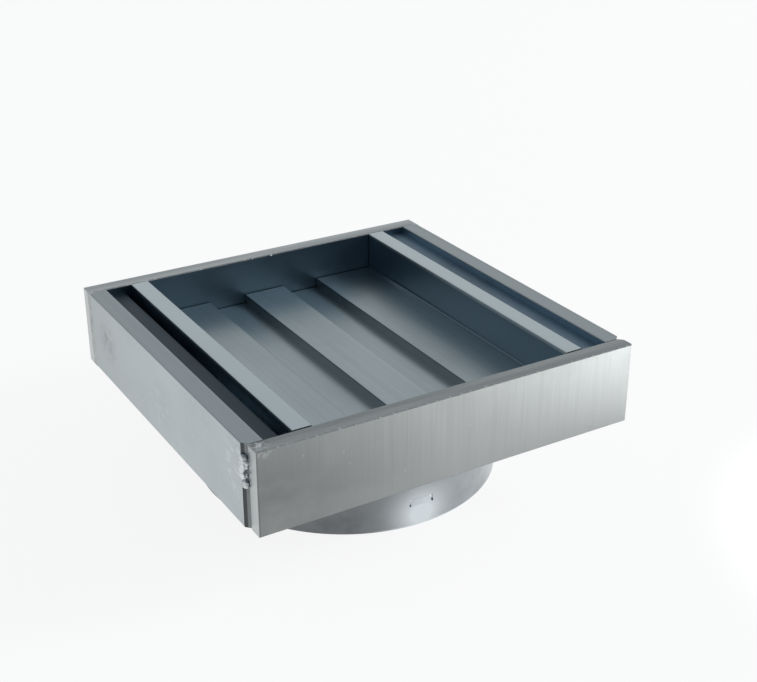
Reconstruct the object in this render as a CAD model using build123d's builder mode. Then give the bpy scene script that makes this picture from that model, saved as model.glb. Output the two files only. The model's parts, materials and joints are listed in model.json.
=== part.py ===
"""Square floor waste with a lift-out tile tray and a round outlet.

Millimetres. The origin is the centre of the spigot's lower rim, Z is up and the front plate faces -Y.
"""
import os
from math import asin, cos, degrees, radians, sin, sqrt

from build123d import *

os.makedirs("parts", exist_ok=True)

# Outer frame: one extruded channel closed by two end plates, as small as the outlet allows
side_margin = 3.0
end_margin = 3.5
frame_height = 26.8
side_wall = 6.0
frame_floor = 3.0
floor_corner = 2.0
end_plate = 5.5
front_plate_short = 1.2
edge_break = 0.3
ledge_drop = 2.5
ledge_reach = 6.4
ledge_thickness = 2.5

# Corner welds: both edges are bevelled, and the bead lies in the groove between them
weld_bevel = 1.7
bead_drop = 2.5
bead_height = 11.5
bead_crown = 0.4

# Tile tray: one extrusion standing loose in the channel
slot_width = 9.0
tray_wall = 6.0
tray_end_gap = 0.4
tray_floor = 2.5
tray_corner = 1.2
recess_depth = 13.2
centre_band = 15.6
groove_width = 13.5
groove_depth = 3.3
foot_width = 3.0
foot_spacing = 80.0

# Outlet spigot: sheet tube with a flange above the channel floor and a rolled ring below it
spigot_radius = 50.0
spigot_drop = 24.7
spigot_wall = 1.5
spigot_gap = 0.2
flange_reach = 6.0
lip_round = 1.2
rim_round = 0.4
ring_reach = 1.5
ring_height = 3.0

# Stop tabs cut out of the spigot's wall and pressed in at the top
tab_count = 4
tab_turn = -2.0
tab_base = 7.2
tab_window = 2.5
tab_width = 7.4
tab_taper = 0.6
tab_slit = 0.5
tab_set_in = 0.6

# Levels and places that follow from the sizes above
floor_bottom = spigot_drop
floor_top = floor_bottom + frame_floor
frame_top = floor_bottom + frame_height
flange_radius = spigot_radius + flange_reach
wall_inner = flange_radius + side_margin
frame_side = wall_inner + side_wall
plate_inner = flange_radius + end_margin
ledge_top = frame_top - ledge_drop
ledge_bottom = ledge_top - ledge_thickness
ledge_edge = wall_inner - ledge_reach

tray_outer = wall_inner - slot_width
tray_inner = tray_outer - tray_wall
tray_seat = floor_top + spigot_wall
band_top = frame_top - recess_depth
band_bottom = band_top - tray_floor
groove_top = band_top - groove_depth
groove_bottom = groove_top - tray_floor
groove_start = centre_band / 2
groove_end = groove_start + groove_width
foot_inner = foot_spacing / 2 - foot_width / 2
foot_outer = foot_spacing / 2 + foot_width / 2

spigot_bore = spigot_radius - spigot_wall
flange_top = floor_top + spigot_wall
ring_bottom = floor_bottom - ring_height
ring_middle = floor_bottom - ring_height / 2
window_width = tab_width + 2 * tab_slit
window_top = tab_base + tab_window
window_arc = degrees(2 * asin(window_width / 2 / spigot_bore))
tab_top = window_top - tab_slit


def corners_at(sketch, x, y):
    """Corners of a section that lie at a distance x to either side, at the height y."""
    return sketch.vertices().filter_by(
        lambda v: abs(abs(v.X) - x) < edge_break / 2 and abs(v.Y - y) < edge_break / 2
    )


# Outline of the V-grooves along the four corner seams, cut into the channel and both plates
with BuildSketch(Plane.XY.offset(floor_bottom)) as weld_grooves:
    with GridLocations(2 * frame_side, 2 * plate_inner, 2, 2):
        Rectangle(weld_bevel * sqrt(2), weld_bevel * sqrt(2), rotation=45)

# Channel: floor, side walls and the ledge along the inside of each wall
with BuildPart() as channel_body:
    with BuildSketch(Plane.XZ) as channel_section:
        with BuildLine():
            Polyline(
                (0, floor_bottom),
                (frame_side, floor_bottom),
                (frame_side, frame_top),
                (wall_inner, frame_top),
                (wall_inner, ledge_top),
                (ledge_edge, ledge_top),
                (ledge_edge, ledge_bottom),
                (wall_inner, ledge_bottom),
                (wall_inner, floor_top),
                (0, floor_top),
            )
            mirror(about=Plane.YZ)
        make_face()
        fillet(corners_at(channel_section.sketch_local, wall_inner, floor_top), floor_corner)
        for rounded_x, rounded_y in (
            (frame_side, floor_bottom),
            (frame_side, frame_top),
            (wall_inner, frame_top),
            (ledge_edge, ledge_top),
        ):
            fillet(corners_at(channel_section.sketch_local, rounded_x, rounded_y), edge_break)
    extrude(amount=plate_inner, both=True)
    with BuildSketch(Plane.XY.offset(floor_bottom)):
        Circle(spigot_radius + spigot_gap)
    extrude(amount=frame_floor, mode=Mode.SUBTRACT)
    extrude(weld_grooves.sketch, amount=frame_height, mode=Mode.SUBTRACT)

channel_body.part.label = "channel_body"
export_step(channel_body.part, "parts/channel_body.step")


def make_end_plate(side, left_end):
    """Flat plate over one end of the channel, at +1 the rear and at -1 the front."""
    with BuildPart() as plate:
        with BuildSketch(Plane.XZ.offset(-side * plate_inner)):
            with Locations((frame_side, floor_bottom)):
                Rectangle(frame_side - left_end, frame_height, align=(Align.MAX, Align.MIN))
        extrude(amount=-side * end_plate)
        outer_face = plate.faces().sort_by(Axis.Y)[-1 if side > 0 else 0]
        inner_face = plate.faces().sort_by(Axis.Y)[0 if side > 0 else -1]
        chamfer(outer_face.edges() + [inner_face.edges().sort_by(Axis.Z)[-1]], edge_break)
        extrude(weld_grooves.sketch, amount=frame_height, mode=Mode.SUBTRACT)
    return plate.part


# The front plate stops short of the channel's left side, and the rear plate is as wide as the channel
front_plate = make_end_plate(-1, front_plate_short - frame_side)
front_plate.label = "front_end_plate"
export_step(front_plate, "parts/front_end_plate.step")

rear_plate = make_end_plate(1, -frame_side)
rear_plate.label = "rear_end_plate"
export_step(rear_plate, "parts/rear_end_plate.step")


def make_weld(side_x, side_y, plate, plate_end, bottom, height, crown):
    """Weld metal in what the bevels of one corner leave open, proud of the side wall by the crown."""
    face = side_x * frame_side
    root = face - side_x * weld_bevel
    seam = side_y * plate_inner
    wall_edge = (face, seam - side_y * weld_bevel)
    plate_edge = (plate_end, seam + side_y * weld_bevel)
    with BuildPart() as weld:
        with BuildSketch(Plane.XY.offset(bottom)):
            with BuildLine():
                Polyline(wall_edge, (root, wall_edge[1]), (root, plate_edge[1]), plate_edge)
                if crown > 0:
                    ThreePointArc(plate_edge, (face + side_x * crown, seam), wall_edge)
                else:
                    Line(plate_edge, wall_edge)
            make_face()
        extrude(amount=height)
        add(channel_body.part, mode=Mode.SUBTRACT)
        add(plate, mode=Mode.SUBTRACT)
    return weld.part


# The front beads are left as laid, part way down the groove
bead_bottom = frame_top - bead_drop - bead_height
for weld_name, weld_side, weld_end in (
    ("weld_front_left", -1, front_plate_short - frame_side),
    ("weld_front_right", 1, frame_side),
):
    front_weld = make_weld(weld_side, -1, front_plate, weld_end, bead_bottom, bead_height, bead_crown)
    front_weld.label = weld_name
    export_step(front_weld, f"parts/{weld_name}.step")

# The rear grooves are filled from end to end and dressed flush with the side walls
for weld_name, weld_side in (("weld_rear_left", -1), ("weld_rear_right", 1)):
    rear_weld = make_weld(weld_side, 1, rear_plate, weld_side * frame_side, floor_bottom, frame_height, 0)
    rear_weld.label = weld_name
    export_step(rear_weld, f"parts/{weld_name}.step")

# Tray: walls level with the frame, a floor with two grooves, and two foot rails on the spigot's flange
with BuildPart() as tile_tray:
    with BuildSketch(Plane.XZ) as tray_section:
        with BuildLine():
            Polyline(
                (0, band_top),
                (groove_start, band_top),
                (groove_start, groove_top),
                (groove_end, groove_top),
                (groove_end, band_top),
                (tray_inner, band_top),
                (tray_inner, frame_top),
                (tray_outer, frame_top),
                (tray_outer, band_bottom),
                (foot_outer, band_bottom),
                (foot_outer, tray_seat),
                (foot_inner, tray_seat),
                (foot_inner, band_bottom),
                (groove_end + tray_floor, band_bottom),
                (groove_end + tray_floor, groove_bottom),
                (groove_start - tray_floor, groove_bottom),
                (groove_start - tray_floor, band_bottom),
                (0, band_bottom),
            )
            mirror(about=Plane.YZ)
        make_face()
        for rounded_x in (tray_inner, tray_outer):
            fillet(corners_at(tray_section.sketch_local, rounded_x, frame_top), edge_break)
        for rounded_x in (groove_start, groove_end):
            fillet(corners_at(tray_section.sketch_local, rounded_x, band_top), edge_break)
        fillet(corners_at(tray_section.sketch_local, tray_inner, band_top), tray_corner)
        fillet(corners_at(tray_section.sketch_local, tray_outer, band_bottom), tray_corner)
    extrude(amount=plate_inner - tray_end_gap, both=True)

tile_tray.part.label = "tile_tray"
export_step(tile_tray.part, "parts/tile_tray.step")

# Spigot: the flange lies on the channel floor, and the rolled ring under the floor holds it there
with BuildPart() as outlet_spigot:
    with BuildSketch(Plane.XZ) as spigot_section:
        with BuildLine():
            Polyline((spigot_bore, ring_bottom), (spigot_bore, 0), (spigot_radius, 0), (spigot_radius, ring_bottom))
            ThreePointArc(
                (spigot_radius, ring_bottom),
                (spigot_radius + ring_reach, ring_middle),
                (spigot_radius, floor_bottom),
            )
            Polyline(
                (spigot_radius, floor_bottom),
                (spigot_radius, floor_top),
                (flange_radius, floor_top),
                (flange_radius, flange_top),
                (spigot_bore, flange_top),
                (spigot_bore, floor_bottom),
            )
            ThreePointArc(
                (spigot_bore, floor_bottom),
                (spigot_bore + ring_reach, ring_middle),
                (spigot_bore, ring_bottom),
            )
        make_face()
        fillet(corners_at(spigot_section.sketch_local, spigot_bore, flange_top), lip_round)
        for rounded_x in (spigot_bore, spigot_radius):
            fillet(corners_at(spigot_section.sketch_local, rounded_x, 0), rim_round)
    revolve(axis=Axis.Z)
    for tab_number in range(tab_count):
        tab_angle = -90 + tab_turn + tab_number * 360 / tab_count
        out_x = cos(radians(tab_angle))
        out_y = sin(radians(tab_angle))
        start_x = cos(radians(tab_angle - window_arc / 2))
        start_y = sin(radians(tab_angle - window_arc / 2))
        tangent_plane = Plane(
            origin=(spigot_radius * out_x, spigot_radius * out_y, 0),
            x_dir=(-out_y, out_x, 0),
            z_dir=(out_x, out_y, 0),
        )
        radial_plane = Plane(origin=(0, 0, 0), x_dir=(start_x, start_y, 0), z_dir=(start_y, -start_x, 0))
        # The window is opened, the leaning tab is put in it, and the slits are cut around the tab
        with BuildSketch(tangent_plane):
            with Locations((0, tab_base)):
                Rectangle(window_width, tab_window, align=(Align.CENTER, Align.MIN))
        extrude(amount=-2 * spigot_wall, mode=Mode.SUBTRACT)
        with BuildSketch(radial_plane):
            with BuildLine():
                Polyline(
                    (spigot_bore, tab_base),
                    (spigot_radius, tab_base),
                    (spigot_radius - tab_set_in, tab_top),
                    (spigot_bore - tab_set_in, tab_top),
                    close=True,
                )
            make_face()
        revolve(axis=Axis.Z, revolution_arc=window_arc)
        with BuildSketch(tangent_plane):
            with Locations((0, tab_base)):
                Rectangle(window_width, tab_window, align=(Align.CENTER, Align.MIN))
            with BuildLine():
                Polyline(
                    (-tab_width / 2, tab_base),
                    (tab_width / 2, tab_base),
                    (tab_width / 2 - tab_taper, window_top),
                    (tab_taper - tab_width / 2, window_top),
                    close=True,
                )
            make_face(mode=Mode.SUBTRACT)
        extrude(amount=-2 * spigot_wall - tab_set_in, mode=Mode.SUBTRACT)

outlet_spigot.part.label = "outlet_spigot"
export_step(outlet_spigot.part, "parts/outlet_spigot.step")
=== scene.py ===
"""Looks of a square floor waste: metal finishes, weld beads, edge burrs, floor, light and camera."""

import json
from math import radians

import bpy
from bpy.props import FloatProperty, FloatVectorProperty, IntProperty, PointerProperty
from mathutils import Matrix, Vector


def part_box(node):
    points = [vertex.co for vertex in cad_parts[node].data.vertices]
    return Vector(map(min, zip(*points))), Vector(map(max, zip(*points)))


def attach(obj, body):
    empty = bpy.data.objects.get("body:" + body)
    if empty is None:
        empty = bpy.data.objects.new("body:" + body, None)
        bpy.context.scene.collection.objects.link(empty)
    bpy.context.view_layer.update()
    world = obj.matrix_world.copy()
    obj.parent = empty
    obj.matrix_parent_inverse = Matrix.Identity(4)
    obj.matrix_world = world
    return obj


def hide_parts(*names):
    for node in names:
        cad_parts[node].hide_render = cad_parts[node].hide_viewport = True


bl_info = {
    "name": "Floor Waste",
    "version": (1, 0, 0),
    "blender": (4, 5, 0),
    "location": "View3D > Sidebar > Floor Waste",
    "description": "Finishes, weld beads, burrs and stage of a square floor waste",
    "category": "Add Mesh",
}

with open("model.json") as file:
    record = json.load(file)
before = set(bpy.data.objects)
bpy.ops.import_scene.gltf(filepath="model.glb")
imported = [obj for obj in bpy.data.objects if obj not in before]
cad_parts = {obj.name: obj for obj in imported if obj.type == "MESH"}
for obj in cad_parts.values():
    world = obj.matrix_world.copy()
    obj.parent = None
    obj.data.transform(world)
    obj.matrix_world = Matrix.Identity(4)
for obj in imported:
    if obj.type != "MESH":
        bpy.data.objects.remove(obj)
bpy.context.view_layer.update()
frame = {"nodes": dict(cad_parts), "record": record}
BODY = "root"
MM = 0.001

# Levels and faces that the finishes follow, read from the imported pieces
PLATE_LOW, PLATE_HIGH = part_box("front_end_plate")
FRAME_TOP = PLATE_HIGH.z
FRAME_FOOT = PLATE_LOW.z
FRAME_SIDE = PLATE_HIGH.x
PLATE_INNER = -PLATE_HIGH.y
BED_LEVEL = next(mount["pos_m"][2] for mount in frame["record"]["mounts"] if mount["name"] == "tile_bed")

# Section of the channel's wall and ledge
SIDE_WALL = 6.0 * MM
LEDGE_DEPTH = 5.0 * MM
LEDGE_FOOT = FRAME_TOP - LEDGE_DEPTH

# Narrow margins by which one face is told from the next
SOFT_EDGE = 0.2 * MM
EDGE_BREAK = 0.3 * MM
TOUCH = 0.02 * MM

# Marks and painted shade on the channel
SCUFF_SHARE = 0.22
SMUDGE_REACH = 9.0 * MM
# Span over which painted shade darkens the channel's outer faces towards the rear
REAR_SHADE_SPAN = (5.0 * MM, 60.0 * MM)
SPATTER_PLACE = (-FRAME_SIDE, 3.0 * MM - PLATE_INNER, FRAME_TOP - 10.0 * MM)
SPATTER_REACH = 12.0 * MM
SEAM_ROOT_DEPTH = 0.9 * MM

# Marks, painted highlight and painted shade on the end plates
# Span of the painted highlight to the right, then the place and reach of painted shade at the lower left
# corner
PLATE_HIGHLIGHT_SPAN = (-5.0 * MM, 62.0 * MM)
LOW_CORNER_SHADE_PLACE = (PLATE_LOW.x, PLATE_LOW.y, FRAME_FOOT)
LOW_CORNER_SHADE_REACH = 62.0 * MM
SCORCH_PLACE = (PLATE_LOW.x + 2.0 * MM, -PLATE_INNER - 1.6 * MM, FRAME_TOP)
SCORCH_REACH = 5.0 * MM

# Marks, painted shade and painted highlights on the tray and the spigot
TRAY_LIP_HEIGHT = 1.0 * MM
# Span across which the spigot goes from painted shade on its left to painted highlight on its right
SPIGOT_SIDE_SHADE_SPAN = (-24.0 * MM, 30.0 * MM)
# Painted highlights below the front tab, on the tab's lip and along the right part of the rim
TAB_HIGHLIGHT_DROP = Vector((0.0, 0.0, 4.0 * MM))
TAB_HIGHLIGHT_REACH = 17.0 * MM
TAB_LIP_HIGHLIGHT_REACH = 6.5 * MM
RIM_HEIGHT = 0.7 * MM
RIM_HIGHLIGHT_SPAN = (-20.0 * MM, 5.0 * MM)
FORMING_WAVE = 0.9 * MM

# Pits in weld metal, from ground flush to torn
DRESSED_PITS = 0.04 * MM
BURR_PITS = 0.1 * MM
BEAD_PITS = 0.25 * MM

# Front weld beads: name, side and shade of each, the right bead's lower shade being painted shade on the
# same weld metal, how deep its drops sit and how far they may spread
BEADS = (("weld_front_left", -1.0, 1.0), ("weld_front_right", 1.0, 0.42))
BEAD_SINK = 0.55
BEAD_WALL_ROOM = 1.5 * MM
BEAD_PLATE_ROOM = 0.5 * MM
BEAD_SKIN_BAND = 0.6 * MM
BEAD_ROUGHNESS = 0.5 * MM
BEAD_CELLS = 1100.0
DROP_TURN = 3.0

# Steps added to a seed, which keep the random draws apart
WANDER_DRAW = 1
CHANCE_DRAW = 9
SCALE_DRAW = 20
TURN_DRAW = 40

# Where the burrs lie on the plates' sawn edges
FRONT_BURR_START = -52.0 * MM
FRONT_BURR_RUN = 60.0 * MM
FRONT_BURR_INSET = 0.25 * MM
REAR_BURR_START = -4.5 * MM
REAR_BURR_RUN = 17.0 * MM
REAR_BURR_SPACING = 8.0 * MM
REAR_BURR_DROP = 0.5 * MM
REAR_BURR_ROOM = 0.7 * MM
REAR_BURR_GROWTH = 1.9

# Lamps and floor
KEY_PLACE = (2.25, -1.1, 1.25)
KEY_TARGET = (0.0, 0.0, 0.02)
KEY_SIDES = (1.1, 1.1)
POOL_PLACE = (0.150, -0.155, 0.6)
POOL_ANGLE = 17.0
POOL_BLEND = 0.8
POOL_LAMP_RADIUS = 0.02
FLOOR_PAINT = (0.86, 0.86, 0.86, 1.0)
FLOOR_GLOW = (1.0, 1.0, 1.0, 1.0)
FLOOR_GLOW_SHARE = 0.88
SENSOR_WIDTH = 36.0
NEAREST_SEEN = 0.01


def colour_setting(name, description, default):
    """A colour that the user can change in the panel."""
    return FloatVectorProperty(
        name=name, description=description, subtype="COLOR", size=3, min=0.0, max=1.0, default=default)


def length_setting(name, description, default):
    """A length in metres that the user can change in the panel."""
    return FloatProperty(name=name, description=description, default=default, unit="LENGTH", precision=5)


def place_setting(name, description, default):
    """A place in the object's frame that the user can change in the panel."""
    return FloatVectorProperty(
        name=name, description=description, default=default,
        subtype="TRANSLATION", unit="LENGTH", precision=4)


def power_setting(name, description, default):
    """A lamp's power in watts that the user can change in the panel."""
    return FloatProperty(name=name, description=description, default=default, unit="POWER")


class FloorWasteFinish(bpy.types.PropertyGroup):
    """Colours, grain and marks of the metal surfaces."""

    channel_colour: colour_setting("Channel", "Mill finish of the outer channel", (0.55, 0.60, 0.615))
    plate_colour: colour_setting("End plates", "Linished metal of the two end plates", (0.45, 0.47, 0.468))
    tray_colour: colour_setting("Tray", "Satin metal of the lift-out tray", (0.365, 0.41, 0.425))
    # The inside colour is partly the dull metal of the inner faces and partly painted shade, dark and
    # bluish as the shaded inside looks
    inner_dull_and_shade_colour: colour_setting("Inside", "Dull unworked metal of the inner faces", (0.135, 0.19, 0.235))
    spigot_colour: colour_setting("Spigot", "Bright sheet metal of the outlet spigot", (0.26, 0.28, 0.292))
    weld_colour: colour_setting("Welds", "Cast metal of the weld beads", (0.72, 0.75, 0.76))
    burr_colour: colour_setting("Burrs", "Fresh metal of the torn edges", (0.50, 0.52, 0.53))
    grain_depth: length_setting("Grain depth", "Depth of the brushed grain", 0.000024)
    # The press mark's place centres the painted highlights at the front tab
    tab_place: place_setting(
        "Press mark", "Middle of the rubbed patch at the front tab", (-0.0017, -0.0500, 0.0082))
    smudge_place: place_setting(
        "Smudge", "Middle of the dark smudge on the left wall", (-0.0650, 0.0447, 0.0397))


class FloorWasteWelds(bpy.types.PropertyGroup):
    """Sizes of the rough beads in the front corner grooves."""

    pitch: length_setting("Pitch", "Step from one drop of weld metal to the next", 0.0008)
    drop_radius: length_setting("Drop radius", "Radius of one drop of weld metal", 0.0014)
    wander: length_setting("Wander", "How far a drop strays from the seam", 0.0007)
    skin: length_setting("Skin detail", "Cell size of the skin that joins the drops", 0.00014)
    inset: length_setting("Inset", "Distance of the seam's middle from the end plate, on the wall", 0.0011)
    seed: IntProperty(name="Seed", description="Seed of the drops' places and sizes", default=7)


class FloorWasteBurrs(bpy.types.PropertyGroup):
    """Sizes of the torn metal left along sawn edges."""

    spacing: length_setting("Spacing", "Step along the edge between places for a burr", 0.0011)
    size: length_setting("Size", "Radius of a large burr", 0.00030)
    share: FloatProperty(
        name="Share", description="Share of the places that hold a burr", default=0.16, subtype="FACTOR")
    seed: IntProperty(name="Seed", description="Seed of the burrs' places and sizes", default=11)


class FloorWasteStage(bpy.types.PropertyGroup):
    """Floor, light and camera."""

    floor_width: length_setting("Floor width", "Side of the square floor", 8.0)
    camera_place: place_setting(
        "Camera", "Where the camera stands", (-0.1906, -0.3391, FRAME_TOP + 0.1754))
    camera_target: place_setting(
        "Target", "The point that the camera looks at", (-0.0009, -0.0227, FRAME_TOP))
    camera_lens: FloatProperty(name="Lens", description="Focal length", default=62.66, unit="CAMERA")
    key_power: power_setting("Key light", "Power of the large soft light", 55.0)
    pool_power: power_setting("Floor light", "Power of the light on the floor at the front right", 110.0)
    sky_light: colour_setting("Light side", "Light from the right and the back", (0.95, 0.97, 0.98))
    sky_shade: colour_setting("Shade side", "Light from the left and the front", (0.16, 0.20, 0.24))
    sky_top: colour_setting("Top", "Light from above", (0.38, 0.43, 0.47))


# Small helpers for node trees

def add(tree, kind, **settings):
    """Add a node of a kind and set its own options."""
    node = tree.nodes.new(kind)
    for option, value in settings.items():
        setattr(node, option, value)
    return node


def plug(tree, socket, value):
    """Link a node's input to a socket, or set it to a fixed value."""
    if isinstance(value, bpy.types.NodeSocket):
        tree.links.new(value, socket)
    else:
        socket.default_value = value


def feed(tree, node, **inputs):
    """Set or link a node's inputs, named with underscores for spaces."""
    for label, value in inputs.items():
        plug(tree, node.inputs[label.replace("_", " ")], value)
    return node


def maths(tree, operation, first, second=0.0):
    """One sum of two numbers or sockets."""
    node = add(tree, "ShaderNodeMath", operation=operation)
    plug(tree, node.inputs[0], first)
    plug(tree, node.inputs[1], second)
    return node.outputs[0]


def plus(tree, first, second):
    """Two numbers or sockets added."""
    return maths(tree, "ADD", first, second)


def times(tree, first, second):
    """Two numbers or sockets multiplied."""
    return maths(tree, "MULTIPLY", first, second)


def opposite(tree, share):
    """What a share leaves of one."""
    return maths(tree, "SUBTRACT", 1.0, share)


def remap(tree, value, low, high, to_low, to_high):
    """Carry a value from one range to another, held at its ends."""
    node = add(tree, "ShaderNodeMapRange")
    feed(tree, node, Value=value, From_Min=low, From_Max=high, To_Min=to_low, To_Max=to_high)
    return node.outputs["Result"]


def ramp(tree, value, low, high):
    """Nought up to a low value, rising to one at a high one."""
    return remap(tree, value, low, high, 0.0, 1.0)


def mixed(tree, factor, first, second):
    """Mix two colours or colour sockets by a factor socket."""
    node = add(tree, "ShaderNodeMix", data_type="RGBA")
    plug(tree, node.inputs["Factor"], factor)

    # The colour sockets come after those for numbers and vectors
    plug(tree, node.inputs[6], first)
    plug(tree, node.inputs[7], second)
    return node.outputs[2]


def grain(tree, stretch, detail=3.0, roughness=0.55, seed=0.0):
    """Noise stretched along the object's axes, in cells a metre."""
    place = add(tree, "ShaderNodeTexCoord")
    scaled = feed(tree, add(tree, "ShaderNodeMapping"), Vector=place.outputs["Object"], Scale=stretch)
    scaled.inputs["Location"].default_value = (seed, seed, seed)
    noise = add(tree, "ShaderNodeTexNoise")
    feed(tree, noise, Vector=scaled.outputs["Vector"], Scale=1.0, Detail=detail, Roughness=roughness)
    return noise.outputs[0]


# Masks: where on the object a finish changes

def coordinate(tree, axis):
    """Where a place lies along one axis of the object's frame."""
    place = add(tree, "ShaderNodeTexCoord")
    split = feed(tree, add(tree, "ShaderNodeSeparateXYZ"), Vector=place.outputs["Object"])
    return split.outputs[axis]


def outlook(tree, axis):
    """How far a face looks along an axis, from minus one to one."""
    turn = add(tree, "ShaderNodeNewGeometry")
    split = feed(tree, add(tree, "ShaderNodeSeparateXYZ"), Vector=turn.outputs["Normal"])
    return split.outputs[axis]


def facing(tree, axis):
    """How far a face looks along an axis, either way, from nought to one."""
    return maths(tree, "ABSOLUTE", outlook(tree, axis))


def facing_up(tree):
    """One on faces that look up, nought on upright ones."""
    return ramp(tree, outlook(tree, "Z"), 0.6, 0.8)


def nearness(tree, centre, reach):
    """One at a place in the object's frame, falling to nought at its reach."""
    place = add(tree, "ShaderNodeTexCoord")
    gap = add(tree, "ShaderNodeVectorMath", operation="DISTANCE")
    tree.links.new(place.outputs["Object"], gap.inputs[0])
    gap.inputs[1].default_value = centre
    return remap(tree, gap.outputs["Value"], 0.2 * reach, reach, 1.0, 0.0)


def within(tree, axis, limit):
    """One where a place lies nearer than a limit to the object's middle plane, nought beyond it."""
    distance = maths(tree, "ABSOLUTE", coordinate(tree, axis))
    return remap(tree, distance, limit, limit + SOFT_EDGE, 1.0, 0.0)


def below(tree, level):
    """One under a level, nought above it."""
    return remap(tree, coordinate(tree, "Z"), level - SOFT_EDGE, level, 1.0, 0.0)


def rising(tree, axis, low, high):
    """Nought up to a place on an axis, rising to one at another."""
    return ramp(tree, coordinate(tree, axis), low, high)


def far_half(tree, axis):
    """Nought on the left or front half of the object, one on the right or rear half."""
    return rising(tree, axis, -MM, MM)


def seam_groove(tree):
    """One on the slanting faces of the corner seams, nought elsewhere."""
    return ramp(tree, times(tree, facing(tree, "X"), facing(tree, "Y")), 0.2, 0.3)


def broken_edge(tree):
    """One on the narrow slanting faces along top and bottom edges, nought elsewhere."""
    level = plus(tree, facing(tree, "X"), facing(tree, "Y"))
    return ramp(tree, times(tree, facing(tree, "Z"), level), 0.2, 0.3)


# Finishes

def tone(colour, factor=1.0):
    """A colour made lighter or darker, with full alpha."""
    return tuple(min(1.0, channel * factor) for channel in colour) + (1.0,)


def new_metal(name):
    """A fresh metal material, its node tree and its shader."""
    material = bpy.data.materials.new(name)
    material.use_nodes = True
    tree = material.node_tree
    shader = tree.nodes["Principled BSDF"]
    shader.inputs["Metallic"].default_value = 1.0
    return material, tree, shader


def relief(tree, shader, height, depth, strength=1.0):
    """Raise the surface by a height socket, to a depth in metres."""
    bump = add(tree, "ShaderNodeBump")
    feed(tree, bump, Height=height, Distance=depth, Strength=strength)
    tree.links.new(bump.outputs["Normal"], shader.inputs["Normal"])


def mill_finish(name, look):
    """Extruded metal with fine lines along its length, cloudy oxide, scuffs and a duller inside, with
    painted shade towards the rear, on the tops, in the seams and inside.
    """
    material, tree, shader = new_metal(name)
    colour = look.channel_colour
    inner = look.inner_dull_and_shade_colour
    lines = grain(tree, (1500.0, 6.0, 1500.0), detail=2.0)
    bands = grain(tree, (260.0, 2.0, 260.0), detail=2.0, seed=3.1)
    clouds = grain(tree, (55.0, 40.0, 55.0), detail=4.0, seed=8.3)
    marks = grain(tree, (420.0, 260.0, 420.0), detail=3.0, seed=1.7)
    streak = plus(tree, times(tree, lines, 0.5), times(tree, bands, 0.5))

    # Outer faces: painted shade that darkens them towards the rear, with a smudge, scuffs and weld spatter
    streaked = mixed(tree, ramp(tree, streak, 0.35, 0.65), tone(colour, 0.93), tone(colour, 1.06))
    clouded = mixed(tree, remap(tree, clouds, 0.42, 0.72, 0.0, 0.5), streaked, tone(colour, 0.84))
    # Painted shade: the outer faces grow darker towards the rear
    rear_shade = times(tree, rising(tree, "Y", *REAR_SHADE_SPAN), 0.4)
    rear_shaded = mixed(tree, rear_shade, clouded, tone(colour, 0.6))
    smudge = nearness(tree, look.smudge_place, SMUDGE_REACH)
    smudge = times(tree, smudge, remap(tree, marks, 0.4, 0.6, 0.1, 0.7))
    smudged = mixed(tree, smudge, rear_shaded, tone(colour, 0.55))
    spatter = times(tree, nearness(tree, SPATTER_PLACE, SPATTER_REACH), ramp(tree, marks, 0.52, 0.62))
    scuff = remap(tree, times(tree, marks, clouds), 0.36, 0.42, 0.0, SCUFF_SHARE)
    scuff = maths(tree, "MAXIMUM", scuff, spatter)
    worn = mixed(tree, scuff, smudged, tone(colour, 1.35))

    # Inner faces: painted shade on the left half, which holds the left ledge, and lighter copies of the
    # inside metal painted on the upright walls and under the ledges
    between_walls = within(tree, "X", FRAME_SIDE - SIDE_WALL + TOUCH)
    above_foot = opposite(tree, below(tree, FRAME_FOOT + EDGE_BREAK))
    inside = times(tree, times(tree, between_walls, below(tree, FRAME_TOP - EDGE_BREAK)), above_foot)
    dull = mixed(tree, ramp(tree, clouds, 0.4, 0.7), tone(inner, 1.1), tone(inner, 0.8))
    # Painted shade: the left half of the inside, with its ledge, is much darker
    left_half_shaded = mixed(tree, far_half(tree, "X"), tone(inner, 0.30), dull)
    # Painted light: upright inner walls and the faces under the ledges are lighter copies of the inside
    # metal
    walled = mixed(tree, ramp(tree, facing(tree, "X"), 0.5, 0.8), left_half_shaded, tone(inner, 2.2))
    deep = mixed(tree, below(tree, LEDGE_FOOT), walled, tone(inner, 3.0))
    lined = mixed(tree, inside, worn, deep)

    # Top faces painted darker as shade, and the corner seams painted with shade that is darkest at their
    # root
    # Painted shade: the top faces are a darker copy of the outer metal
    topped = mixed(tree, below(tree, FRAME_TOP - SOFT_EDGE), tone(colour, 0.62), lined)
    at_root = within(tree, "X", FRAME_SIDE - SEAM_ROOT_DEPTH)
    # Painted shade in the seam grooves, darkest at their root
    root = mixed(tree, at_root, tone(colour, 0.16), tone(colour, 0.42))
    seamed = mixed(tree, seam_groove(tree), topped, root)

    sheen = plus(tree, remap(tree, streak, 0.3, 0.7, 0.40, 0.52), times(tree, scuff, 0.12))
    tree.links.new(seamed, shader.inputs["Base Color"])
    tree.links.new(sheen, shader.inputs["Roughness"])
    height = plus(tree, times(tree, streak, 0.6), times(tree, scuff, 0.5))
    relief(tree, shader, height, look.grain_depth)
    return material


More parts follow.
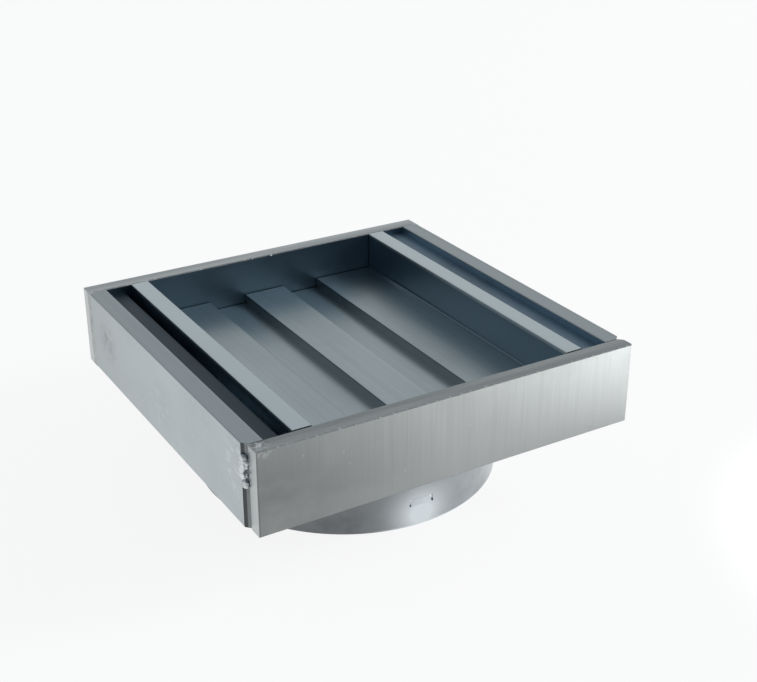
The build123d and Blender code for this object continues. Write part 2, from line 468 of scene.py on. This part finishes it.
def linished(name, look):
    """Plate brushed upright, with sawn top and bottom edges and a scorched weld corner."""
    material, tree, shader = new_metal(name)
    colour = look.plate_colour
    inner = look.inner_dull_and_shade_colour
    fine = grain(tree, (2600.0, 2600.0, 34.0), detail=3.0, roughness=0.6)
    broad = grain(tree, (700.0, 700.0, 9.0), detail=3.0, seed=4.2)
    sawn = grain(tree, (90.0, 1400.0, 1400.0), detail=3.0, seed=2.4)
    clouds = grain(tree, (45.0, 45.0, 70.0), detail=4.0, seed=6.6)
    specks = grain(tree, (700.0, 700.0, 500.0), detail=2.0, seed=9.4)
    upright = plus(tree, times(tree, fine, 0.62), times(tree, broad, 0.38))
    across = times(tree, maths(tree, "SUBTRACT", sawn, upright), facing_up(tree))
    streak = plus(tree, upright, across)

    # Brushed faces: a painted highlight growing to the right, and painted shade at the lower left corner
    # and towards the foot
    hairline = ramp(tree, streak, 0.38, 0.62)
    handled = mixed(tree, hairline, tone(colour, 0.93), tone(colour, 1.10))
    # Painted highlight: lighter copies of the brushed metal towards the right
    plate_highlit = mixed(tree, hairline, tone(colour, 1.32), tone(colour, 1.52))
    highlight_side = rising(tree, "X", *PLATE_HIGHLIGHT_SPAN)
    brushed = mixed(tree, highlight_side, handled, plate_highlit)
    # Painted shade around the lower left corner
    corner_shade = times(tree, nearness(tree, LOW_CORNER_SHADE_PLACE, LOW_CORNER_SHADE_REACH), 0.9)
    corner_shaded = mixed(tree, corner_shade, brushed, tone(colour, 0.37))
    # Painted shade towards the foot, strongest on the right
    foot = opposite(tree, rising(tree, "Z", FRAME_FOOT, FRAME_TOP))
    foot = times(tree, foot, remap(tree, highlight_side, 0.0, 1.0, 0.42, 0.62))
    foot_shaded = mixed(tree, foot, corner_shaded, tone(colour, 0.55))
    clouded = mixed(tree, remap(tree, clouds, 0.45, 0.75, 0.0, 0.4), foot_shaded, tone(colour, 0.86))
    nicked = mixed(tree, remap(tree, specks, 0.70, 0.76, 0.0, 0.35), clouded, tone(colour, 1.4))

    # Weld corner: scorched, with pale spatter
    corner = nearness(tree, SCORCH_PLACE, SCORCH_REACH)
    blotch = times(tree, corner, ramp(tree, specks, 0.46, 0.54))
    scorched = mixed(tree, times(tree, corner, 0.45), nicked, tone(colour, 0.6))
    spattered = mixed(tree, blotch, scorched, tone(colour, 1.5))

    # Cut ends, sawn tops painted darker at the front and lighter at the rear, and the chipped edges between
    # them, partly dimmed as painted shade
    cut_end = ramp(tree, facing(tree, "X"), 0.85, 0.95)
    ended = mixed(tree, cut_end, spattered, mixed(tree, streak, tone(colour, 1.15), tone(colour, 1.5)))
    # Painted shade on the front plate's top and painted light on the rear plate's top, both the same sawn
    # face
    shaded_front_top = mixed(tree, streak, tone(colour, 0.5), tone(colour, 0.8))
    lit_rear_top = mixed(tree, streak, tone(colour, 0.75), tone(colour, 1.05))
    sawn_top = mixed(tree, far_half(tree, "Y"), shaded_front_top, lit_rear_top)
    spotted = mixed(tree, times(tree, corner, 0.8), sawn_top, spattered)
    topped = mixed(tree, below(tree, FRAME_TOP - SOFT_EDGE), spotted, ended)
    arris = broken_edge(tree)
    # Chips along the broken edges, and painted shade that dims the edges' highlight
    chipped_and_dimmed = mixed(tree, ramp(tree, specks, 0.54, 0.66), tone(colour, 0.6), tone(colour, 1.0))
    edged = mixed(tree, arris, topped, chipped_and_dimmed)

    # Inner faces, whose dull inside colour is partly painted shade, and the corner seams, painted with
    # shade
    inside = times(tree, within(tree, "Y", PLATE_INNER + TOUCH), below(tree, FRAME_TOP - EDGE_BREAK))
    dull = mixed(tree, ramp(tree, clouds, 0.4, 0.7), tone(inner, 1.3), tone(inner, 1.05))
    lined = mixed(tree, inside, edged, dull)
    # Painted shade in the corner seam grooves
    seamed = mixed(tree, times(tree, seam_groove(tree), 0.6), lined, tone(colour, 0.4))

    sheen = plus(tree, remap(tree, streak, 0.3, 0.7, 0.37, 0.46), times(tree, corner, 0.15))
    smoother = times(tree, inside, maths(tree, "SUBTRACT", 0.34, sheen))
    torn = times(tree, arris, 0.35)
    tree.links.new(seamed, shader.inputs["Base Color"])
    tree.links.new(plus(tree, plus(tree, sheen, smoother), torn), shader.inputs["Roughness"])
    shader.inputs["Anisotropic"].default_value = 0.45
    relief(tree, shader, plus(tree, streak, times(tree, blotch, 3.0)), look.grain_depth)
    return material


def satin(name, look):
    """Smooth extruded tray metal with soft lines along its length, painted shade on its upright faces,
    darker in its hollows and lighter along the top of its walls.
    """
    material, tree, shader = new_metal(name)
    colour = look.tray_colour
    inner = look.inner_dull_and_shade_colour
    lines = grain(tree, (1300.0, 4.0, 1300.0), detail=2.0, seed=5.5)
    clouds = grain(tree, (50.0, 22.0, 50.0), detail=4.0, seed=2.9)
    specks = grain(tree, (520.0, 520.0, 520.0), detail=2.0, seed=7.7)
    lined = mixed(tree, ramp(tree, lines, 0.35, 0.65), tone(colour, 0.96), tone(colour, 1.04))
    clouded = mixed(tree, remap(tree, clouds, 0.45, 0.75, 0.0, 0.5), lined, tone(colour, 0.88))
    fleck = remap(tree, specks, 0.78, 0.84, 0.0, 0.4)
    flecked = mixed(tree, fleck, clouded, tone(colour, 1.7))
    # Painted shade: upright faces are darker copies of the metal, darkest below the tile bed
    upright = ramp(tree, facing(tree, "X"), 0.15, 0.45)
    upright_shade = mixed(tree, below(tree, BED_LEVEL), tone(inner, 1.4), tone(colour, 0.8))
    walled = mixed(tree, upright, flecked, mixed(tree, fleck, upright_shade, tone(colour, 1.2)))
    hollow = ramp(tree, times(tree, facing(tree, "X"), facing(tree, "Z")), 0.1, 0.3)
    shaded = mixed(tree, hollow, walled, tone(inner, 0.7))
    # Lighter along the top of the walls
    lightened = mixed(tree, below(tree, FRAME_TOP - TRAY_LIP_HEIGHT), tone(colour, 1.25), shaded)
    tree.links.new(lightened, shader.inputs["Base Color"])
    tree.links.new(remap(tree, clouds, 0.3, 0.7, 0.29, 0.35), shader.inputs["Roughness"])
    relief(tree, shader, lines, look.grain_depth, strength=0.1)
    return material


def bright_sheet(name, look):
    """Rolled sheet metal, smooth, with slow waves left by forming, painted shade on its left and painted
    highlight on its right, and painted highlights below the front tab, on its lip and along the rim's right
    part.
    """
    material, tree, shader = new_metal(name)
    colour = look.spigot_colour
    waves = grain(tree, (32.0, 32.0, 26.0), detail=1.0)
    clouds = grain(tree, (80.0, 80.0, 120.0), detail=4.0, seed=6.1)
    toned = mixed(tree, ramp(tree, clouds, 0.4, 0.7), tone(colour, 1.04), tone(colour, 0.9))
    # Painted shade on the left of the spigot and painted highlight on its right
    side_shaded = mixed(tree, rising(tree, "X", *SPIGOT_SIDE_SHADE_SPAN), tone(colour, 0.52), tone(colour, 1.8))
    handled = mixed(tree, remap(tree, clouds, 0.4, 0.7, 0.0, 0.5), side_shaded, toned)
    # Painted highlight below the front tab
    tab_highlight = nearness(tree, look.tab_place - TAB_HIGHLIGHT_DROP, TAB_HIGHLIGHT_REACH)
    lightened = mixed(tree, times(tree, tab_highlight, tab_highlight), handled, tone(colour, 2.6))
    leaning = ramp(tree, facing(tree, "Z"), 0.05, 0.15)
    # Painted highlight on the front tab's leaning lip
    tab_lip_highlight = times(tree, nearness(tree, look.tab_place, TAB_LIP_HIGHLIGHT_REACH), leaning)
    tab_lip_highlit = mixed(tree, tab_lip_highlight, lightened, tone(colour, 2.9))
    # Painted highlight along the right part of the bottom rim
    rim_highlight = times(tree, below(tree, RIM_HEIGHT), rising(tree, "X", *RIM_HIGHLIGHT_SPAN))
    rim_highlit = mixed(tree, rim_highlight, tab_lip_highlit, tone(colour, 2.9))
    tree.links.new(rim_highlit, shader.inputs["Base Color"])
    tree.links.new(remap(tree, clouds, 0.3, 0.7, 0.22, 0.27), shader.inputs["Roughness"])
    relief(tree, shader, waves, FORMING_WAVE)
    return material


def cast_metal(name, colour, pit_depth):
    """Weld metal: frosted, cloudy and pitted."""
    material, tree, shader = new_metal(name)
    pits = grain(tree, (900.0, 900.0, 900.0), detail=4.0, roughness=0.65)
    clouds = grain(tree, (300.0, 300.0, 220.0), detail=3.0, seed=4.4)
    pale = mixed(tree, ramp(tree, clouds, 0.35, 0.65), tone(colour, 0.9), tone(colour, 1.25))
    pitted = mixed(tree, remap(tree, pits, 0.28, 0.42, 1.0, 0.0), pale, tone(colour, 0.6))
    tree.links.new(pitted, shader.inputs["Base Color"])
    tree.links.new(remap(tree, pits, 0.3, 0.7, 0.42, 0.62), shader.inputs["Roughness"])
    relief(tree, shader, pits, pit_depth)
    return material


def dress(node_name, material):
    """Put one finish on a CAD piece, whose shape stays as it is."""
    if node_name not in frame["nodes"]:
        raise RuntimeError(f"the frame has no piece named {node_name}")
    slots = frame["nodes"][node_name].data.materials
    slots.clear()
    slots.append(material)


# Geometry Nodes for weld beads and burrs

def new_shape_tree(name, sizes):
    """An empty geometry tree with named inputs, and its input and output nodes."""
    tree = bpy.data.node_groups.new(name, "GeometryNodeTree")
    tree.interface.new_socket("Geometry", in_out="OUTPUT", socket_type="NodeSocketGeometry")
    for label, kind in sizes:
        tree.interface.new_socket(label, in_out="INPUT", socket_type=kind)
    return tree, add(tree, "NodeGroupInput"), add(tree, "NodeGroupOutput")


def spread(tree, low, high, seed, offset):
    """A random number between two limits for each point, by a seed of its own."""
    node = add(tree, "FunctionNodeRandomValue", data_type="FLOAT")
    plug(tree, node.inputs[2], low)
    plug(tree, node.inputs[3], high)
    plug(tree, node.inputs["Seed"], plus(tree, seed, offset))
    return node.outputs[1]


def spread_vector(tree, size, seed, offset):
    """A random vector for each point, as large as size either way on each axis."""
    joined = add(tree, "ShaderNodeCombineXYZ")
    for step in range(3):
        part = spread(tree, times(tree, size, -1.0), size, seed, offset + step)
        tree.links.new(part, joined.inputs[step])
    return joined.outputs[0]


def drops_on_points(tree, points, radius, roundness, low, high, seed):
    """Put a small round drop, of a random size and turn, on each point."""
    drop = feed(tree, add(tree, "GeometryNodeMeshIcoSphere"), Radius=radius, Subdivisions=roundness)
    on_points = add(tree, "GeometryNodeInstanceOnPoints")
    feed(tree, on_points, Points=points, Instance=drop.outputs["Mesh"])
    scale = add(tree, "ShaderNodeCombineXYZ")
    for slot in range(3):
        tree.links.new(spread(tree, low, high, seed, SCALE_DRAW + slot), scale.inputs[slot])
    tree.links.new(scale.outputs[0], on_points.inputs["Scale"])
    tree.links.new(spread_vector(tree, DROP_TURN, seed, TURN_DRAW), on_points.inputs["Rotation"])
    whole = feed(tree, add(tree, "GeometryNodeRealizeInstances"), Geometry=on_points.outputs["Instances"])
    return whole.outputs["Geometry"]


def hold_inside(tree, geometry, low, high):
    """Move points that lie outside a box to its nearest face."""
    where = add(tree, "GeometryNodeInputPosition")
    raised = add(tree, "ShaderNodeVectorMath", operation="MAXIMUM")
    tree.links.new(where.outputs[0], raised.inputs[0])
    tree.links.new(low, raised.inputs[1])
    lowered = add(tree, "ShaderNodeVectorMath", operation="MINIMUM")
    tree.links.new(raised.outputs[0], lowered.inputs[0])
    tree.links.new(high, lowered.inputs[1])
    moved = feed(tree, add(tree, "GeometryNodeSetPosition"), Geometry=geometry, Position=lowered.outputs[0])
    return moved.outputs["Geometry"]


def roughened(tree, geometry, depth):
    """Push a skin in and out along its normals by fine noise, to a depth in metres."""
    noise = feed(tree, add(tree, "ShaderNodeTexNoise"), Scale=BEAD_CELLS, Detail=3.0)
    height = times(tree, maths(tree, "SUBTRACT", noise.outputs[0], 0.5), 2.0 * depth)
    push = add(tree, "ShaderNodeVectorMath", operation="SCALE")
    tree.links.new(add(tree, "GeometryNodeInputNormal").outputs[0], push.inputs[0])
    tree.links.new(height, push.inputs["Scale"])
    moved = feed(tree, add(tree, "GeometryNodeSetPosition"), Geometry=geometry, Offset=push.outputs[0])
    return moved.outputs["Geometry"]


def end_shape(tree, geometry, material, output):
    """Close a tree: real mesh, smooth shading and its material."""
    smooth = feed(tree, add(tree, "GeometryNodeSetShadeSmooth"), Geometry=geometry)
    whole = feed(tree, add(tree, "GeometryNodeRealizeInstances"), Geometry=smooth.outputs["Geometry"])
    finished = add(tree, "GeometryNodeSetMaterial")
    feed(tree, finished, Geometry=whole.outputs["Geometry"], Material=material)
    tree.links.new(finished.outputs["Geometry"], output.inputs["Geometry"])


def weld_bead_tree(material):
    """Overlapping drops along an upright seam, joined under one lumpy skin."""
    tree, given, output = new_shape_tree("weld_bead", (
        ("Foot", "NodeSocketVector"), ("Step", "NodeSocketVector"), ("Drops", "NodeSocketInt"),
        ("Drop Radius", "NodeSocketFloat"), ("Wander", "NodeSocketFloat"), ("Skin", "NodeSocketFloat"),
        ("Low", "NodeSocketVector"), ("High", "NodeSocketVector"), ("Seed", "NodeSocketInt")))
    size = given.outputs
    line = add(tree, "GeometryNodeMeshLine", mode="OFFSET")
    feed(tree, line, Count=size["Drops"], Start_Location=size["Foot"], Offset=size["Step"])
    strayed = spread_vector(tree, size["Wander"], size["Seed"], WANDER_DRAW)
    placed = feed(tree, add(tree, "GeometryNodeSetPosition"), Geometry=line.outputs["Mesh"], Offset=strayed)
    drops = drops_on_points(
        tree, placed.outputs["Geometry"], size["Drop Radius"],
        roundness=3, low=0.65, high=1.15, seed=size["Seed"])
    held = hold_inside(tree, drops, size["Low"], size["High"])
    volume = add(tree, "GeometryNodeMeshToVolume", resolution_mode="VOXEL_SIZE")
    feed(tree, volume, Mesh=held, Voxel_Size=size["Skin"], Interior_Band_Width=BEAD_SKIN_BAND)
    skin = add(tree, "GeometryNodeVolumeToMesh", resolution_mode="VOXEL_SIZE")
    feed(tree, skin, Volume=volume.outputs["Volume"], Voxel_Size=size["Skin"])
    rough = roughened(tree, skin.outputs["Mesh"], BEAD_ROUGHNESS)
    kept = hold_inside(tree, rough, size["Low"], size["High"])
    end_shape(tree, kept, material, output)
    return tree


def edge_burr_tree(material):
    """Torn flakes of metal at chance places along an edge."""
    tree, given, output = new_shape_tree("edge_burrs", (
        ("Start", "NodeSocketVector"), ("Step", "NodeSocketVector"), ("Places", "NodeSocketInt"),
        ("Size", "NodeSocketFloat"), ("Share", "NodeSocketFloat"),
        ("Low", "NodeSocketVector"), ("High", "NodeSocketVector"), ("Seed", "NodeSocketInt")))
    size = given.outputs
    line = add(tree, "GeometryNodeMeshLine", mode="OFFSET")
    feed(tree, line, Count=size["Places"], Start_Location=size["Start"], Offset=size["Step"])
    strayed = spread_vector(tree, size["Size"], size["Seed"], WANDER_DRAW)
    placed = feed(tree, add(tree, "GeometryNodeSetPosition"), Geometry=line.outputs["Mesh"], Offset=strayed)
    chance = spread(tree, 0.0, 1.0, size["Seed"], CHANCE_DRAW)
    bare = add(tree, "FunctionNodeCompare", data_type="FLOAT", operation="GREATER_THAN")
    tree.links.new(chance, bare.inputs[0])
    tree.links.new(size["Share"], bare.inputs[1])
    torn = add(tree, "GeometryNodeDeleteGeometry", domain="POINT")
    feed(tree, torn, Geometry=placed.outputs["Geometry"], Selection=bare.outputs[0])
    flakes = drops_on_points(
        tree, torn.outputs["Geometry"], size["Size"],
        roundness=2, low=0.35, high=1.3, seed=size["Seed"])
    end_shape(tree, hold_inside(tree, flakes, size["Low"], size["High"]), material, output)
    return tree


def grow(name, tree, sizes):
    """Evaluate a geometry tree with its sizes into a plain mesh piece at the origin."""
    piece = bpy.data.objects.new(name, bpy.data.meshes.new(name))
    bpy.context.scene.collection.objects.link(piece)
    modifier = piece.modifiers.new("shape", "NODES")
    modifier.node_group = tree
    for item in tree.interface.items_tree:
        if item.in_out == "INPUT":
            modifier[item.identifier] = sizes[item.name]
    graph = bpy.context.evaluated_depsgraph_get()
    mesh = bpy.data.meshes.new_from_object(piece.evaluated_get(graph), depsgraph=graph)
    piece.modifiers.remove(modifier)
    if not mesh.polygons:
        raise RuntimeError(f"{name} came out empty")
    mesh.name = name
    piece.data = mesh
    return piece


# Operators

class FLOORWASTE_OT_channel(bpy.types.Operator):
    """Give the outer channel its mill finish"""

    bl_idname = "floorwaste.channel"
    bl_label = "Finish channel"

    def execute(self, context):
        look = context.scene.floor_waste_finish
        dress("channel_body", mill_finish("channel_mill_finish", look))
        return {"FINISHED"}


class FLOORWASTE_OT_end_plates(bpy.types.Operator):
    """Give both end plates their upright brushed finish"""

    bl_idname = "floorwaste.end_plates"
    bl_label = "Finish end plates"

    def execute(self, context):
        look = context.scene.floor_waste_finish
        brushed = linished("plate_linished", look)
        for plate in ("front_end_plate", "rear_end_plate"):
            dress(plate, brushed)
        return {"FINISHED"}


class FLOORWASTE_OT_tray(bpy.types.Operator):
    """Give the lift-out tray its satin finish"""

    bl_idname = "floorwaste.tray"
    bl_label = "Finish tray"

    def execute(self, context):
        look = context.scene.floor_waste_finish
        dress("tile_tray", satin("tray_satin", look))
        return {"FINISHED"}


class FLOORWASTE_OT_spigot(bpy.types.Operator):
    """Give the outlet spigot its bright sheet finish"""

    bl_idname = "floorwaste.spigot"
    bl_label = "Finish spigot"

    def execute(self, context):
        look = context.scene.floor_waste_finish
        dress("outlet_spigot", bright_sheet("spigot_bright_sheet", look))
        return {"FINISHED"}


class FLOORWASTE_OT_rear_welds(bpy.types.Operator):
    """Give the dressed rear welds their ground finish"""

    bl_idname = "floorwaste.rear_welds"
    bl_label = "Finish rear welds"

    def execute(self, context):
        look = context.scene.floor_waste_finish
        ground = cast_metal("weld_dressed", look.plate_colour, DRESSED_PITS)
        for weld in ("weld_rear_left", "weld_rear_right"):
            dress(weld, ground)
        return {"FINISHED"}


class FLOORWASTE_OT_front_welds(bpy.types.Operator):
    """Lay the rough weld beads in the front corner grooves"""

    bl_idname = "floorwaste.front_welds"
    bl_label = "Lay front welds"

    def execute(self, context):
        look = context.scene.floor_waste_finish
        bead = context.scene.floor_waste_welds
        for name, side, bead_painted_shade in BEADS:
            # The right bead's colour is darkened as painted shade
            colour = tone(look.weld_colour, bead_painted_shade)[:3]
            tree = weld_bead_tree(cast_metal(name + "_metal", colour, BEAD_PITS))
            low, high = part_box(name)
            outer = low.x if side < 0.0 else high.x
            inner = high.x + BEAD_WALL_ROOM if side < 0.0 else low.x - BEAD_WALL_ROOM
            seam = (low.y + high.y) / 2.0 + bead.inset
            foot = Vector((outer - side * BEAD_SINK * bead.drop_radius, seam, low.z + bead.drop_radius))
            drops = int((high.z - low.z - 2.0 * bead.drop_radius) / bead.pitch) + 1
            floor = Vector((min(outer, inner), low.y - BEAD_PLATE_ROOM, low.z))
            roof = Vector((max(outer, inner), high.y + BEAD_WALL_ROOM, high.z))
            piece = grow(name + "_bead", tree, {
                "Foot": foot, "Step": Vector((0.0, 0.0, bead.pitch)), "Drops": drops,
                "Drop Radius": bead.drop_radius, "Wander": bead.wander, "Skin": bead.skin,
                "Low": floor, "High": roof, "Seed": bead.seed + int(side)})
            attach(piece, BODY)
            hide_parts(name)
        return {"FINISHED"}


class FLOORWASTE_OT_burrs(bpy.types.Operator):
    """Leave torn burrs along the sawn edges of the end plates"""

    bl_idname = "floorwaste.burrs"
    bl_label = "Leave burrs"

    def execute(self, context):
        look = context.scene.floor_waste_finish
        burr = context.scene.floor_waste_burrs
        tree = edge_burr_tree(cast_metal("burr_metal", look.burr_colour, BURR_PITS))
        rear_low, rear_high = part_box("rear_end_plate")
        rear_room = rear_low - Vector((0.0, REAR_BURR_ROOM, 0.0))
        front_start = (FRONT_BURR_START, PLATE_LOW.y + FRONT_BURR_INSET, FRAME_TOP - FRONT_BURR_INSET)
        rear_start = (REAR_BURR_START, rear_low.y, rear_high.z - REAR_BURR_DROP)
        edges = (
            ("front_plate_burrs", Vector(front_start), FRONT_BURR_RUN,
             burr.spacing, burr.size, burr.share, PLATE_LOW, PLATE_HIGH),
            ("rear_plate_burrs", Vector(rear_start), REAR_BURR_RUN,
             REAR_BURR_SPACING, REAR_BURR_GROWTH * burr.size, 1.0, rear_room, rear_high),
        )
        for name, start, run, spacing, size, share, low, high in edges:
            piece = grow(name, tree, {
                "Start": start, "Step": Vector((spacing, 0.0, 0.0)), "Places": int(run / spacing),
                "Size": size, "Share": share, "Low": low, "High": high, "Seed": burr.seed})
            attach(piece, BODY)
        return {"FINISHED"}


class FLOORWASTE_OT_stage(bpy.types.Operator):
    """Set the floor, the soft light and the camera"""

    bl_idname = "floorwaste.stage"
    bl_label = "Set stage"

    def execute(self, context):
        stage = context.scene.floor_waste_stage
        lay_floor(stage)
        light_sky(context.scene, stage)
        hang_lamp("key_light", KEY_PLACE, KEY_TARGET, KEY_SIDES, stage.key_power)
        light_floor("floor_light", POOL_PLACE, POOL_ANGLE, stage.pool_power)
        place_camera(context.scene, stage)
        context.scene.view_settings.view_transform = "Standard"
        return {"FINISHED"}


def lay_floor(stage):
    """A white floor that keeps the object's shadow."""
    half = stage.floor_width / 2.0
    corners = ((-half, -half, 0.0), (half, -half, 0.0), (half, half, 0.0), (-half, half, 0.0))
    mesh = bpy.data.meshes.new("floor")
    mesh.from_pydata(corners, [], [(0, 1, 2, 3)])
    floor = bpy.data.objects.new("floor", mesh)
    bpy.context.scene.collection.objects.link(floor)
    material = bpy.data.materials.new("floor_white")
    material.use_nodes = True
    tree = material.node_tree
    tree.nodes.clear()
    paint = feed(tree, add(tree, "ShaderNodeBsdfDiffuse"), Color=FLOOR_PAINT)
    glow = feed(tree, add(tree, "ShaderNodeEmission"), Color=FLOOR_GLOW, Strength=1.0)
    path = add(tree, "ShaderNodeLightPath")
    seen = plus(tree, path.outputs["Is Camera Ray"], path.outputs["Is Glossy Ray"])
    seen = plus(tree, seen, path.outputs["Is Transmission Ray"])
    share = times(tree, maths(tree, "MINIMUM", seen, 1.0), FLOOR_GLOW_SHARE)
    blend = add(tree, "ShaderNodeMixShader")
    tree.links.new(share, blend.inputs[0])
    tree.links.new(paint.outputs[0], blend.inputs[1])
    tree.links.new(glow.outputs[0], blend.inputs[2])
    output = add(tree, "ShaderNodeOutputMaterial")
    tree.links.new(blend.outputs[0], output.inputs["Surface"])
    mesh.materials.append(material)


def light_sky(scene, stage):
    """Soft light from all round, strongest low at the right and the back."""
    world = bpy.data.worlds.new("soft_room")
    world.use_nodes = True
    tree = world.node_tree
    place = add(tree, "ShaderNodeTexCoord")
    split = feed(tree, add(tree, "ShaderNodeSeparateXYZ"), Vector=place.outputs["Generated"])
    rise = ramp(tree, split.outputs["Z"], 0.15, 0.85)
    lean = plus(tree, times(tree, split.outputs["X"], 0.62), times(tree, split.outputs["Y"], 0.78))
    low_sky = mixed(tree, ramp(tree, lean, -0.5, 0.85), tone(stage.sky_shade), tone(stage.sky_light))
    sky = mixed(tree, rise, low_sky, tone(stage.sky_top))
    tree.links.new(sky, tree.nodes["Background"].inputs["Color"])
    scene.world = world


def hang_lamp(name, place, target, sides, power):
    """A soft light of two sides, its width level, that looks at a point."""
    lamp = bpy.data.lights.new(name, "AREA")
    lamp.shape = "RECTANGLE"
    lamp.size, lamp.size_y = sides
    lamp.energy = power
    piece = bpy.data.objects.new(name, lamp)
    piece.location = place
    piece.rotation_euler = (Vector(target) - Vector(place)).to_track_quat("-Z", "Y").to_euler()
    bpy.context.scene.collection.objects.link(piece)


def light_floor(name, place, spread_angle, power):
    """A soft pool of light on the floor straight below a place, clear of the object."""
    lamp = bpy.data.lights.new(name, "SPOT")
    lamp.spot_size = radians(spread_angle)
    lamp.spot_blend = POOL_BLEND
    lamp.shadow_soft_size = POOL_LAMP_RADIUS
    lamp.energy = power
    piece = bpy.data.objects.new(name, lamp)
    piece.location = place
    bpy.context.scene.collection.objects.link(piece)


def place_camera(scene, stage):
    """The camera at the photograph's viewing angle."""
    lens = bpy.data.cameras.new("camera")
    lens.sensor_fit = "HORIZONTAL"
    lens.sensor_width = SENSOR_WIDTH
    lens.lens = stage.camera_lens
    lens.clip_start = NEAREST_SEEN
    camera = bpy.data.objects.new("camera", lens)
    camera.location = stage.camera_place
    aim = Vector(stage.camera_target) - Vector(stage.camera_place)
    camera.rotation_euler = aim.to_track_quat("-Z", "Y").to_euler()
    scene.collection.objects.link(camera)
    scene.camera = camera


OPERATORS = (
    FLOORWASTE_OT_channel,
    FLOORWASTE_OT_end_plates,
    FLOORWASTE_OT_tray,
    FLOORWASTE_OT_spigot,
    FLOORWASTE_OT_rear_welds,
    FLOORWASTE_OT_front_welds,
    FLOORWASTE_OT_burrs,
    FLOORWASTE_OT_stage,
)

SETTINGS = (
    ("floor_waste_finish", FloorWasteFinish),
    ("floor_waste_welds", FloorWasteWelds),
    ("floor_waste_burrs", FloorWasteBurrs),
    ("floor_waste_stage", FloorWasteStage),
)


class FLOORWASTE_PT_sidebar(bpy.types.Panel):
    """Steps and settings of the floor waste"""

    bl_label = "Floor Waste"
    bl_idname = "FLOORWASTE_PT_sidebar"
    bl_space_type = "VIEW_3D"
    bl_region_type = "UI"
    bl_category = "Floor Waste"

    def draw(self, context):
        for attribute, group in SETTINGS:
            box = self.layout.box()
            for setting in group.__annotations__:
                box.prop(getattr(context.scene, attribute), setting)
        for operator in OPERATORS:
            self.layout.operator(operator.bl_idname)


def register():
    for attribute, group in SETTINGS:
        bpy.utils.register_class(group)
        setattr(bpy.types.Scene, attribute, PointerProperty(type=group))
    for operator in OPERATORS:
        bpy.utils.register_class(operator)
    bpy.utils.register_class(FLOORWASTE_PT_sidebar)


def unregister():
    bpy.utils.unregister_class(FLOORWASTE_PT_sidebar)
    for operator in reversed(OPERATORS):
        bpy.utils.unregister_class(operator)
    for attribute, group in reversed(SETTINGS):
        delattr(bpy.types.Scene, attribute)
        bpy.utils.unregister_class(group)


def main():
    """Dress the part piece by piece and set the stage."""
    register()
    bpy.ops.floorwaste.channel()
    bpy.ops.floorwaste.end_plates()
    bpy.ops.floorwaste.tray()
    bpy.ops.floorwaste.spigot()
    bpy.ops.floorwaste.rear_welds()
    bpy.ops.floorwaste.front_welds()
    bpy.ops.floorwaste.burrs()
    bpy.ops.floorwaste.stage()


if __name__ == "__main__":
    main()
